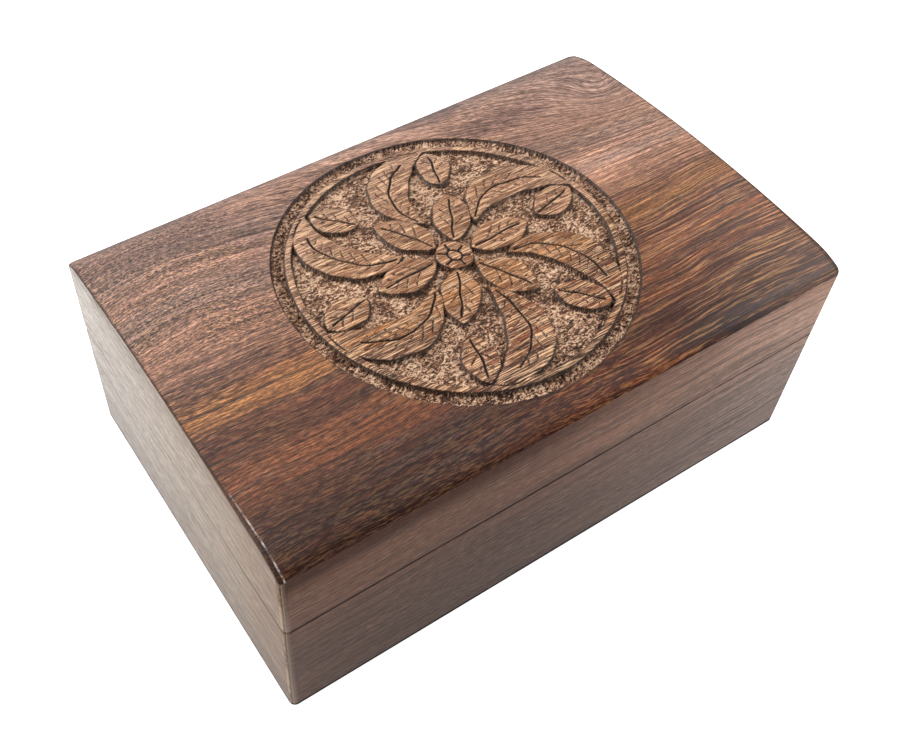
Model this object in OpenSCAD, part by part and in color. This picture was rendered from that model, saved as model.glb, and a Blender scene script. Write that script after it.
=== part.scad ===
// Wooden dice box with a hinged, crowned and carved lid.
// Origin at the middle of the underside: X runs along the length, Y from front to back, Z up.

/* [Box] */
// Outside length, left to right
box_l = 152.4; // [120:0.2:220]
// Outside depth, front to back
box_w = 100; // [80:0.5:140]
// Height of the lid's crown above the table
box_h = 63.5; // [52:0.1:90]
// Height of the seam between base and lid
seam_h = 37.4; // [28:0.1:46]
// Gap between the base's rim and the lid's rim
seam_gap = 0.3; // [0.2:0.05:0.6]
// Thickness of the boards of the four sides
wall_t = 10; // [8:0.1:13]
// Radius of the upright corners
corner_r = 1.6; // [0.8:0.1:3]
// Radius of the edges round the underside
foot_r = 1.4; // [0.6:0.1:3]

/* [Bottom] */
// Thickness of the bottom board
bottom_t = 4; // [3:0.1:6]
// How far the bottom board reaches under the side boards
rebate_w = 4; // [2:0.1:6]
// Clearance round the bottom board in its rebate
bottom_fit = 0.1; // [0.05:0.05:0.3]
// Thickness of the felt in the base and in the lid
felt_t = 1; // [0.6:0.1:2]
// Clearance between the felt and the side boards
felt_fit = 0.3; // [0.1:0.1:0.8]

/* [Crown] */
// Radius of the crown across the middle of the lid
crown_r = 413; // [250:1:800]
// Width of the rounder shoulder along the front and back edges
shoulder_w = 9; // [5:0.5:14]
// Radius of the shoulder
shoulder_r = 24; // [20:0.5:60]
// Radius of the arris where the shoulder meets the front and back faces
arris_r = 0.8; // [0.4:0.1:1.5]
// Height of the top board's edge that shows above the front board
board_edge = 0.45; // [0.2:0.05:1.5]

/* [Carving] */
// Bare wood between the carved disc and the lid's front and back faces
carve_margin = 7; // [5:0.5:14]
// Depth of the carved ground below the crown
carve_d = 1.4; // [0.6:0.1:2]
// Width of the sunk band round the rim of the disc
band_w = 3.4; // [2:0.1:6]
// Width of the raised ring inside the band
ring_w = 1.6; // [1:0.1:3]
// Number of petals, leaves and buds round the disc
leaf_count = 6; // [5:1:7]

/* [Hinges] */
// Length of one hinge
hinge_l = 25; // [20:0.5:32]
// Distance from each end of the box to the middle of the hinge
hinge_inset = 31; // [24:0.5:45]
// Radius of the knuckles
knuckle_r = 1.9; // [1.6:0.05:2.2]
// Distance of the pin's axis from the back face
axis_inset = 2; // [1.9:0.05:2.5]
// Radius of the pin
pin_r = 0.9; // [0.7:0.05:1.1]
// Running clearance between pin and knuckle, on the radius
pin_fit = 0.05; // [0.02:0.01:0.08]
// Gap between neighbouring knuckles
knuckle_gap = 0.2; // [0.1:0.05:0.4]
// Thickness of the leaves
leaf_t = 0.9; // [0.7:0.05:1.2]
// Wood left between the leaf and the inside of the box
leaf_margin = 1.2; // [0.6:0.1:2]
// Clearance round the leaf and the knuckles in the wood
leaf_fit = 0.3; // [0.1:0.05:0.5]
// Half of the angle between the bevels of lid and base behind the pin
bevel_angle = 53.5; // [46:0.5:60]

/* [Screws] */
// Distance between the two screws of a leaf
screw_pitch = 16; // [12:0.5:18]
// Length of a screw, head included
screw_l = 8; // [6:0.5:9]
// Radius of a screw's shank
screw_r = 0.95; // [0.7:0.05:1.1]
// Metal left in the leaf on either side of a screw's head
head_edge = 0.475; // [0.3:0.025:1]
// Clearance round the screw in leaf and wood, on the radius
screw_fit = 0.05; // [0.02:0.01:0.1]
// Width of the cross slot in a screw's head
slot_w = 0.45; // [0.3:0.05:0.6]

/* [Hidden] */

// Margin by which cutting solids pass the faces that they cut, and the small overlap of two cuts
past = 1;
skim = 0.01;
// Facets of small round shapes and of the crown's wide arc
fine = 64;
fine_wide = 1440;

inner_l = box_l - 2 * wall_t;
inner_w = box_w - 2 * wall_t;
rim_base = seam_h - seam_gap / 2;
rim_lid = seam_h + seam_gap / 2;

// Crown: a wide arc between two shoulders that are tangent to it
tangent_y = box_w / 2 - shoulder_w;
tangent_a = asin(tangent_y / crown_r);
crown_z = box_h - crown_r;
shoulder_y = tangent_y - shoulder_r * sin(tangent_a);
shoulder_z = crown_z + (crown_r - shoulder_r) * cos(tangent_a);
edge_z = shoulder_z + sqrt(pow(shoulder_r, 2) - pow(box_w / 2 - shoulder_y, 2));
arris_y = box_w / 2 - arris_r;
arris_z = shoulder_z + sqrt(pow(shoulder_r - arris_r, 2) - pow(arris_y - shoulder_y, 2));
arris_a = atan2(arris_z - shoulder_z, arris_y - shoulder_y);
joint_z = edge_z - board_edge;

// Carving: its leaves are drawn for a field of this radius and this many of each kind
drawn_field_r = 38;
drawn_count = 6;
boss_r = 4.4;
// Petals that stand round the boss
petal_foot = 4.7;
petal_l = 16.4;
petal_w = 9.2;
// Bent leaves that swirl out between the petals
swirl_foot = 12;
swirl_tilt = -33;
swirl_l = 27.4;
swirl_bulge = 4;
swirl_w = 10.2;
// Buds that fill the field towards its rim
bud_foot = 24.6;
bud_turn = 2;
bud_tilt = 12;
bud_l = 13;
bud_w = 8.4;
carve_r = box_w / 2 - carve_margin;
field_r = carve_r - band_w - ring_w;
leaf_turn = 360 / leaf_count;
leaf_slim = drawn_count / leaf_count;

// Hinges
axis_y = box_w / 2 - axis_inset;
leaf_reach = wall_t - axis_inset - leaf_margin;
plate_fit = 0.35;
plate_start = knuckle_r + plate_fit;
// Tabs that join the knuckles to their leaf end in the knuckle's wall and lap into the leaf
tab_bite = 0.15;
tab_lap = 0.1;
tab_start = pin_r + pin_fit + tab_bite;
knuckles = 5;
knuckle_pitch = hinge_l / knuckles;
screw_v = (plate_start + leaf_reach) / 2;
head_r = (leaf_reach - plate_start) / 2 - head_edge;
head_floor = 0.05;
head_h = leaf_t - head_floor;
slot_d = 0.4;
slot_l = 2.6 * head_r;
hinge_x = box_l / 2 - hinge_inset;

// Outlines of the whole box

module rounded_plan() {
    square([box_l - 2 * corner_r, box_w], center = true);
    square([box_l, box_w - 2 * corner_r], center = true);
    for (sx = [-1, 1]) {
        for (sy = [-1, 1]) {
            translate([sx * (box_l / 2 - corner_r), sy * (box_w / 2 - corner_r)])
                circle(r = corner_r, $fn = fine);
        }
    }
}

// A rectangle that stands on its lower side, with both lower corners round
module footed(width, height) {
    translate([-width / 2, foot_r])
        square([width, height - foot_r]);
    translate([-width / 2 + foot_r, 0])
        square([width - 2 * foot_r, 2 * foot_r]);
    for (s = [-1, 1]) {
        translate([s * (width / 2 - foot_r), foot_r])
            circle(r = foot_r, $fn = fine);
    }
}

// One side of the profile, from the crown's tangent point out to the front or back face
module shoulder() {
    intersection() {
        translate([tangent_y, 0])
            square([shoulder_w, box_h]);
        union() {
            square([box_w / 2, shoulder_z]);
            translate([shoulder_y, shoulder_z])
                circle(r = shoulder_r, $fn = 8 * fine);
        }
    }
}

// The sharp corner that the arris takes away, as a quadrilateral beyond the arris's centre
module arris_cut() {
    reach = 4 * arris_r;
    far = [reach * cos(arris_a), reach * sin(arris_a)];
    translate([arris_y, arris_z])
        polygon([[0, 0], [reach, 0], [reach + far[0], far[1]], far]);
}

module crown_profile() {
    intersection() {
        translate([0, crown_z])
            circle(r = crown_r, $fn = fine_wide);
        translate([-tangent_y, 0])
            square([2 * tangent_y, box_h + past]);
    }
    for (s = [0, 1]) {
        mirror([s, 0]) {
            difference() {
                shoulder();
                arris_cut();
            }
            translate([arris_y, arris_z])
                circle(r = arris_r, $fn = fine);
        }
    }
}

module along_x(length) {
    rotate([90, 0, 90])
        linear_extrude(height = length, center = true)
            children();
}

module along_y(length) {
    rotate([90, 0, 0])
        linear_extrude(height = length, center = true)
            children();
}

// The whole closed box as one solid block
module block() {
    intersection() {
        linear_extrude(height = box_h + past)
            rounded_plan();
        along_x(box_l + 2 * past)
            intersection() {
                footed(box_w, box_h + past);
                crown_profile();
            }
        along_y(box_w + 2 * past)
            footed(box_l, box_h + past);
    }
}

// The block between two heights
module slice(z0, z1) {
    intersection() {
        block();
        translate([-box_l / 2 - past, -box_w / 2 - past, z0])
            cube([box_l + 2 * past, box_w + 2 * past, z1 - z0]);
    }
}

// Side boards, mitred at the corners

// The plan of the board along the front, wider than the box so that the block trims it
module long_mitre() {
    polygon([[-box_l / 2 - past, -box_w / 2 - past], [box_l / 2 + past, -box_w / 2 - past],
             [inner_l / 2, -inner_w / 2], [-inner_l / 2, -inner_w / 2]]);
}

// The plan of the board at the left end
module end_mitre() {
    polygon([[-box_l / 2 - past, -box_w / 2 - past], [-inner_l / 2, -inner_w / 2],
             [-inner_l / 2, inner_w / 2], [-box_l / 2 - past, box_w / 2 + past]]);
}

module side_board(z0, z1) {
    intersection() {
        slice(z0, z1);
        translate([0, 0, z0 - past])
            linear_extrude(height = z1 - z0 + 2 * past)
                children();
    }
}

// The space of the bottom board, with its clearance
module rebate() {
    translate([0, 0, (bottom_t - past) / 2])
        cube([inner_l + 2 * rebate_w, inner_w + 2 * rebate_w, bottom_t + past], center = true);
}

module base_board() {
    difference() {
        side_board(0, rim_base)
            children();
        rebate();
    }
}

// What the back boards lose to the bevels, the hinges and their screws

// The wedge behind the pin's axis, below the seam on the base (up = 0) or above it (up = 1)
module bevel_cut(up) {
    rise = (axis_inset + past) * tan(bevel_angle);
    translate([0, axis_y, seam_h])
        mirror([0, 0, up])
            along_x(box_l + 2 * past)
                polygon([[0, 0], [axis_inset + past, -rise], [axis_inset + past, past], [0, past]]);
}

// The seat of one leaf with its knuckles, in the hinge's own place: axis on X, leaf towards -Y
module leaf_seat(up) {
    mirror([0, 0, up]) {
        translate([-hinge_l / 2 - leaf_fit, -leaf_reach - leaf_fit, -seam_gap / 2 - leaf_t])
            cube([hinge_l + 2 * leaf_fit, leaf_reach + leaf_fit, leaf_t + seam_gap / 2 + past]);
        rotate([0, 90, 0])
            cylinder(r = knuckle_r + leaf_fit, h = hinge_l + 2 * leaf_fit, center = true, $fn = fine);
        for (s = [-1, 1]) {
            translate([s * screw_pitch / 2, -screw_v, -seam_gap / 2 - screw_l])
                cylinder(r = screw_r + screw_fit, h = screw_l, $fn = fine);
        }
    }
}

module at_hinge(side) {
    translate([side * hinge_x, axis_y, seam_h])
        children();
}

module hinge_cuts(up) {
    bevel_cut(up);
    for (side = [-1, 1]) {
        at_hinge(side)
            leaf_seat(up);
    }
}

// Base

module base_front() {
    color("#6d5a4e")
        base_board()
            long_mitre();
}

module base_back() {
    color("#6d5a4e")
        difference() {
            base_board()
                mirror([0, 1])
                    long_mitre();
            hinge_cuts(0);
        }
}

module base_left() {
    color("#b9aea0")
        difference() {
            base_board()
                end_mitre();
            bevel_cut(0);
        }
}

module base_right() {
    color("#b9aea0")
        difference() {
            base_board()
                mirror([1, 0])
                    end_mitre();
            bevel_cut(0);
        }
}

module base_bottom() {
    color("#7b5a41")
        translate([0, 0, bottom_t / 2])
            cube([inner_l + 2 * (rebate_w - bottom_fit), inner_w + 2 * (rebate_w - bottom_fit),
                  bottom_t], center = true);
}

module felt(z0) {
    color("#1f4a34")
        translate([0, 0, z0 + felt_t / 2])
            cube([inner_l - 2 * felt_fit, inner_w - 2 * felt_fit, felt_t], center = true);
}

module base_lining() {
    felt(bottom_t);
}

// Lid

module lid_board() {
    side_board(rim_lid, joint_z)
        children();
}

module lid_front() {
    color("#7d695b")
        lid_board()
            long_mitre();
}

module lid_back() {
    color("#7d695b")
        difference() {
            lid_board()
                mirror([0, 1])
                    long_mitre();
            hinge_cuts(1);
        }
}

module lid_left() {
    color("#c4bab0")
        difference() {
            lid_board()
                end_mitre();
            bevel_cut(1);
        }
}

module lid_right() {
    color("#c4bab0")
        difference() {
            lid_board()
                mirror([1, 0])
                    end_mitre();
            bevel_cut(1);
        }
}

module lid_lining() {
    felt(joint_z - felt_t);
}

// Carving of the lid's top

// A pointed leaf from the origin along +X, bounded by two equal arcs
module straight_leaf(length, width) {
    r = (pow(length, 2) + pow(width, 2)) / (4 * width);
    intersection_for (s = [-1, 1]) {
        translate([length / 2, s * (r - width / 2)])
            circle(r = r, $fn = 4 * fine);
    }
}

// A bent leaf from the origin along +X: the space between two arcs that share its ends
module bent_leaf(length, bulge, width) {
    inner_r = (pow(length / 2, 2) + pow(bulge, 2)) / (2 * bulge);
    outer_s = bulge + width;
    outer_r = (pow(length / 2, 2) + pow(outer_s, 2)) / (2 * outer_s);
    difference() {
        translate([length / 2, outer_s - outer_r])
            circle(r = outer_r, $fn = 4 * fine);
        translate([length / 2, bulge - inner_r])
            circle(r = inner_r, $fn = 4 * fine);
    }
}

// Puts a leaf's foot at a radius and an angle of the disc, and tilts the leaf from the radial line
module on_disc(radius, angle, tilt) {
    rotate(angle)
        translate([radius, 0])
            rotate(tilt)
                children();
}

module leaves() {
    circle(r = boss_r, $fn = fine);
    for (k = [0 : leaf_count - 1]) {
        on_disc(petal_foot, k * leaf_turn, 0)
            straight_leaf(petal_l, petal_w * leaf_slim);
        on_disc(swirl_foot, (k + 0.5) * leaf_turn, swirl_tilt)
            bent_leaf(swirl_l, swirl_bulge, swirl_w * leaf_slim);
        on_disc(bud_foot, k * leaf_turn + bud_turn, bud_tilt)
            straight_leaf(bud_l, bud_w * leaf_slim);
    }
}

// The part of the disc that is sunk: the band round the rim, and what the leaves leave free
module ground() {
    difference() {
        circle(r = carve_r, $fn = 8 * fine);
        circle(r = carve_r - band_w, $fn = 8 * fine);
    }
    difference() {
        circle(r = field_r, $fn = 8 * fine);
        scale(field_r / drawn_field_r)
            leaves();
    }
}

module carving() {
    difference() {
        translate([0, 0, joint_z])
            linear_extrude(height = box_h - joint_z + past)
                ground();
        translate([0, 0, crown_z])
            rotate([0, 90, 0])
                cylinder(r = crown_r - carve_d, h = box_l, center = true, $fn = fine_wide);
    }
}

module lid_top() {
    color("#7a4528")
        difference() {
            slice(joint_z, box_h + past);
            carving();
        }
}

// Hinges, each in its own place: axis on X, leaves towards -Y

// The knuckles that one leaf holds: every second one, from the first (0) or the second (1)
module knuckle_row(first) {
    for (i = [first : 2 : knuckles - 1]) {
        translate([-hinge_l / 2 + i * knuckle_pitch + knuckle_gap / 2, 0, 0]) {
            rotate([0, 90, 0])
                cylinder(r = knuckle_r, h = knuckle_pitch - knuckle_gap, $fn = fine);
            translate([0, -plate_start - tab_lap, -seam_gap / 2 - leaf_t])
                cube([knuckle_pitch - knuckle_gap, plate_start + tab_lap - tab_start, leaf_t]);
        }
    }
}

module leaf(up) {
    color("#c39a4c")
        mirror([0, 0, up])
            difference() {
                union() {
                    translate([-hinge_l / 2, -leaf_reach, -seam_gap / 2 - leaf_t])
                        cube([hinge_l, leaf_reach - plate_start, leaf_t]);
                    knuckle_row(up);
                }
                rotate([0, 90, 0])
                    cylinder(r = pin_r + pin_fit, h = hinge_l + 2 * past, center = true, $fn = fine);
                for (s = [-1, 1]) {
                    translate([s * screw_pitch / 2, -screw_v, -seam_gap / 2])
                        screw_hole();
                }
            }
}

// The countersunk hole of a screw whose head lies in the plane z = 0 and points up
module screw_hole() {
    translate([0, 0, -head_h])
        cylinder(r1 = screw_r + screw_fit, r2 = head_r + screw_fit, h = head_h, $fn = fine);
    translate([0, 0, -leaf_t - past])
        cylinder(r = screw_r + screw_fit, h = leaf_t + past, $fn = fine);
    translate([0, 0, -skim])
        cylinder(r = head_r + screw_fit, h = past, $fn = fine);
}

module screw() {
    difference() {
        union() {
            translate([0, 0, -head_h])
                cylinder(r1 = screw_r, r2 = head_r, h = head_h, $fn = fine);
            translate([0, 0, -screw_l])
                cylinder(r = screw_r, h = screw_l - head_h / 2, $fn = fine);
        }
        for (turn = [0, 90]) {
            rotate(turn)
                cube([slot_l, slot_w, 2 * slot_d], center = true);
        }
    }
}

module leaf_screws(up) {
    color("#b08a44")
        mirror([0, 0, up])
            for (s = [-1, 1]) {
                translate([s * screw_pitch / 2, -screw_v, -seam_gap / 2])
                    screw();
            }
}

module pin() {
    color("#a8813c")
        rotate([0, 90, 0])
            cylinder(r = pin_r, h = hinge_l, center = true, $fn = fine);
}

base_front();
base_back();
base_left();
base_right();
base_bottom();
base_lining();
lid_front();
lid_back();
lid_left();
lid_right();
lid_top();
lid_lining();
at_hinge(-1) leaf(0);  // hinge_left_base_leaf
at_hinge(-1) leaf(1);  // hinge_left_lid_leaf
at_hinge(-1) pin();  // hinge_left_pin
at_hinge(-1) leaf_screws(0);  // hinge_left_base_screws
at_hinge(-1) leaf_screws(1);  // hinge_left_lid_screws
at_hinge(1) leaf(0);  // hinge_right_base_leaf
at_hinge(1) leaf(1);  // hinge_right_lid_leaf
at_hinge(1) pin();  // hinge_right_pin
at_hinge(1) leaf_screws(0);  // hinge_right_base_screws
at_hinge(1) leaf_screws(1);  // hinge_right_lid_screws
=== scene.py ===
"""Wooden box with a hinged, crowned lid that carries a round carving, dressed and lit for its portrait.

Sizes are in millimetres in the classes and become metres when a piece is finished.
"""

import logging
import math
from dataclasses import dataclass, field
from enum import Enum

import bmesh
import bpy
import numpy as np
from mathutils import Matrix, Vector
from mathutils import noise as solid_noise


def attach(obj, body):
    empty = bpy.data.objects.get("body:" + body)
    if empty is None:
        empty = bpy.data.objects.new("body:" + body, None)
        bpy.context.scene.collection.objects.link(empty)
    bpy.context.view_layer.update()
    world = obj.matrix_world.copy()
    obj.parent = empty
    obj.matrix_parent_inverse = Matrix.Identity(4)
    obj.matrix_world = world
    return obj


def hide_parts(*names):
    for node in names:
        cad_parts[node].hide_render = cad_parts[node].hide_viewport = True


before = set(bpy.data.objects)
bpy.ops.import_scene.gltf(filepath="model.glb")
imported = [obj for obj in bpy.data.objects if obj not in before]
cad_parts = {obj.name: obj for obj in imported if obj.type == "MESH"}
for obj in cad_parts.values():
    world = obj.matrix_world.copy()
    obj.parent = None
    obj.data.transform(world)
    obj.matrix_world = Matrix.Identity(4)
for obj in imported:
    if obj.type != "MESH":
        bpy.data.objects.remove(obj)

Mesh = bmesh.types.BMesh
Vert = bmesh.types.BMVert
Edge = bmesh.types.BMEdge
Face = bmesh.types.BMFace
Socket = bpy.types.NodeSocket
Array = np.ndarray
Triple = tuple[float, float, float]
Pair = tuple[Array, Array]
Stops = tuple[tuple[float, str], ...]
Place = dict[str, Socket]

MM = 0.001
LENGTH = 152.4
WIDTH = 100.0
SEAM_Z = 37.4
CORNER_R = 1.6
MERGE = 1e-4
logger = logging.getLogger("dice_box")

# Tones of the boards.
DARK_HEART = "3a1c12"
UMBER = "5a3024"
RED_BROWN = "744228"
GOLD = "a87040"
MID_BROWN = "805a48"
TAN = "a07460"
GREY_BROWN = "6c5c58"
GREY_TAN = "8c7870"
PALE_TAN = "b4907c"
DARK_ASH = "747070"
ASH = "989490"

# Painted light and shade: tints that the tones are multiplied by along a side board.
DUSK = "8c7464"
HALF_LIT = "a89080"
AMBER = "b48c70"
STRAW = "d8bc9c"
PLAIN = "ffffff"

# Gains of red, green and blue in the top board's soft patches.
LIGHTER = (1.35, 1.35, 1.35)
DARKER = (0.75, 0.75, 0.8)
WARMER = (1.4, 1.15, 0.85)

# A dark band by the seam, painted shadow and shade, painted light on a corner, and marks of use.
SEAM_DARK = "24150f"
FOOT_PAINTED_SHADOW = "060404"
SHADE = "3a2118"
RUBBED_AND_LIT = "a48f80"
NICK = "1d120d"
WORN = "d3b393"


class Body(Enum):
    """The two halves that the hinges join."""

    BASE = "base"
    LID = "lid"


class Grain(Enum):
    """How a board was cut: the axis along its grain, the one across its face, and the one through it."""

    FLAT = ("X", "Y", "Z")
    LONG_SIDE = ("X", "Z", "Y")
    SHORT_SIDE = ("Y", "Z", "X")


def linear(colour: str) -> tuple[float, float, float, float]:
    """Turns a six-digit screen colour into the linear colour that shaders take."""
    channels = (int(colour[i : i + 2], 16) / 255 for i in (0, 2, 4))
    return (*(c / 12.92 if c <= 0.04045 else ((c + 0.055) / 1.055) ** 2.4 for c in channels), 1.0)


class Graph:
    """The nodes of one material, added and linked one at a time."""

    def __init__(self, name: str) -> None:
        """Starts an empty node material.

        Args:
            name: Name of the material.
        """
        self.material = bpy.data.materials.new(name)
        self.material.use_nodes = True
        self.tree = self.material.node_tree
        self.tree.nodes.clear()

    def add(self, kind: str, inputs: dict, **settings: object) -> bpy.types.Node:
        """Adds a shader node.

        Args:
            kind: The node's type without its ShaderNode prefix.
            inputs: Values or sockets by input name or number.
            **settings: Properties of the node itself.

        Returns:
            The new node.
        """
        node = self.tree.nodes.new("ShaderNode" + kind)
        for name, value in settings.items():
            setattr(node, name, value)
        for name, value in inputs.items():
            if isinstance(value, Socket):
                self.tree.links.new(value, node.inputs[name])
            else:
                node.inputs[name].default_value = value
        return node

    def math(self, operation: str, *values: object) -> Socket:
        """Adds one step of arithmetic and returns its result."""
        return self.add("Math", dict(enumerate(values)), operation=operation).outputs[0]

    def times(self, first: object, *others: object) -> Socket:
        """Multiplies values one after the other."""
        for other in others:
            first = self.math("MULTIPLY", first, other)
        return first

    def plus(self, first: object, *others: object) -> Socket:
        """Adds values one after the other."""
        for other in others:
            first = self.math("ADD", first, other)
        return first

    def minus(self, value: object, less: object) -> Socket:
        """Takes one value from another."""
        return self.math("SUBTRACT", value, less)

    def line(self, value: object, slope: object, start: object) -> Socket:
        """Multiplies a value by a slope and adds a start."""
        return self.math("MULTIPLY_ADD", value, slope, start)

    def larger(self, one: object, other: object) -> Socket:
        """Picks the larger of two values."""
        return self.math("MAXIMUM", one, other)

    def squares(self, x: object, y: object) -> Socket:
        """Adds up the squares of two values."""
        return self.plus(self.math("POWER", x, 2.0), self.math("POWER", y, 2.0))

    def oval(self, x: object, y: object, half_x: float, half_y: float) -> Socket:
        """Gives the squared distance from an oval's middle, which is 1 at its border."""
        return self.squares(self.math("DIVIDE", x, half_x), self.math("DIVIDE", y, half_y))

    def blend(self, share: object, below: object, above: object) -> Socket:
        """Goes over from one pattern to another."""
        return self.plus(self.times(above, share), self.times(below, self.minus(1.0, share)))

    def span(self, value: object, low: float, high: float, start: float = 0.0, end: float = 1.0) -> Socket:
        """Carries the range low..high smoothly over to start..end, and holds the ends."""
        inputs = {0: value, 1: low, 2: high, 3: start, 4: end}
        return self.add("MapRange", inputs, interpolation_type="SMOOTHSTEP").outputs[0]

    def mix(self, share: object, below: object, above: object, blend: str = "MIX") -> Socket:
        """Lays one colour over another.

        Args:
            share: How much of the upper colour shows.
            below: The lower colour.
            above: The upper colour.
            blend: The way the two are combined.

        Returns:
            The mixed colour.
        """
        node = self.add("Mix", {0: share, 6: below, 7: above}, data_type="RGBA", blend_type=blend)
        return node.outputs[2]

    def coat(self, share: object, colour: object, tone: str) -> Socket:
        """Lays a plain tone over a colour."""
        return self.mix(share, colour, linear(tone))

    def lift(self, colour: object, gain: object) -> Socket:
        """Makes a colour lighter or darker."""
        return self.add("VectorMath", {0: colour, "Scale": gain}, operation="SCALE").outputs[0]

    def ramp(self, value: object, stops: list[tuple[float, str]]) -> Socket:
        """Picks a colour from a row of stops between 0 and 1."""
        node = self.add("ValToRGB", {0: value})
        elements = node.color_ramp.elements
        node.color_ramp.interpolation = "B_SPLINE"
        elements[0].position, elements[0].color = stops[0][0], linear(stops[0][1])
        elements[1].position, elements[1].color = stops[-1][0], linear(stops[-1][1])
        for place, colour in stops[1:-1]:
            elements.new(place).color = linear(colour)
        return node.outputs[0]

    def noise(
        self, vector: object, stretch: Triple, detail: float = 2.0, rough: float = 0.5, twist: float = 0.0
    ) -> Socket:
        """Adds a cloud of noise.

        Args:
            vector: Where the noise is read.
            stretch: Number of lumps in a millimetre along each axis.
            detail: Number of finer layers.
            rough: Strength of the finer layers.
            twist: Distortion of the noise by itself.

        Returns:
            The noise between 0 and 1.
        """
        at = self.add("VectorMath", {0: vector, 1: stretch}, operation="MULTIPLY").outputs[0]
        inputs = {"Vector": at, "Scale": 1.0, "Detail": detail, "Roughness": rough, "Distortion": twist}
        return self.add("TexNoise", inputs, noise_dimensions="3D").outputs[0]

    def moved(self, vector: object, shift: object) -> Socket:
        """Adds one vector to another."""
        return self.add("VectorMath", {0: vector, 1: shift}, operation="ADD").outputs[0]

    def place(self, x: object, y: object, z: object) -> Socket:
        """Joins three numbers to a vector."""
        return self.add("CombineXYZ", {0: x, 1: y, 2: z}).outputs[0]

    def millimetres(self, shift: float = 0.0) -> Place:
        """Reads the place on the piece in millimetres.

        Args:
            shift: Offset that gives each board a part of the timber of its own.

        Returns:
            The sockets X, Y, Z and the whole vector under the name at.
        """
        coordinates = self.add("TexCoord", {}).outputs["Object"]
        at = self.add("Mapping", {"Vector": coordinates, "Scale": (1000, 1000, 1000)}).outputs[0]
        parts = self.add("SeparateXYZ", {0: at}).outputs
        moved = self.moved(at, (shift, shift * 1.7, shift * 0.6))
        return {"X": parts[0], "Y": parts[1], "Z": parts[2], "at": moved}

    def finish(self, shader: bpy.types.Node) -> bpy.types.Material:
        """Sends a shader to the surface and returns the material."""
        self.add("OutputMaterial", {"Surface": shader.outputs[0]})
        return self.material


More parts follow.
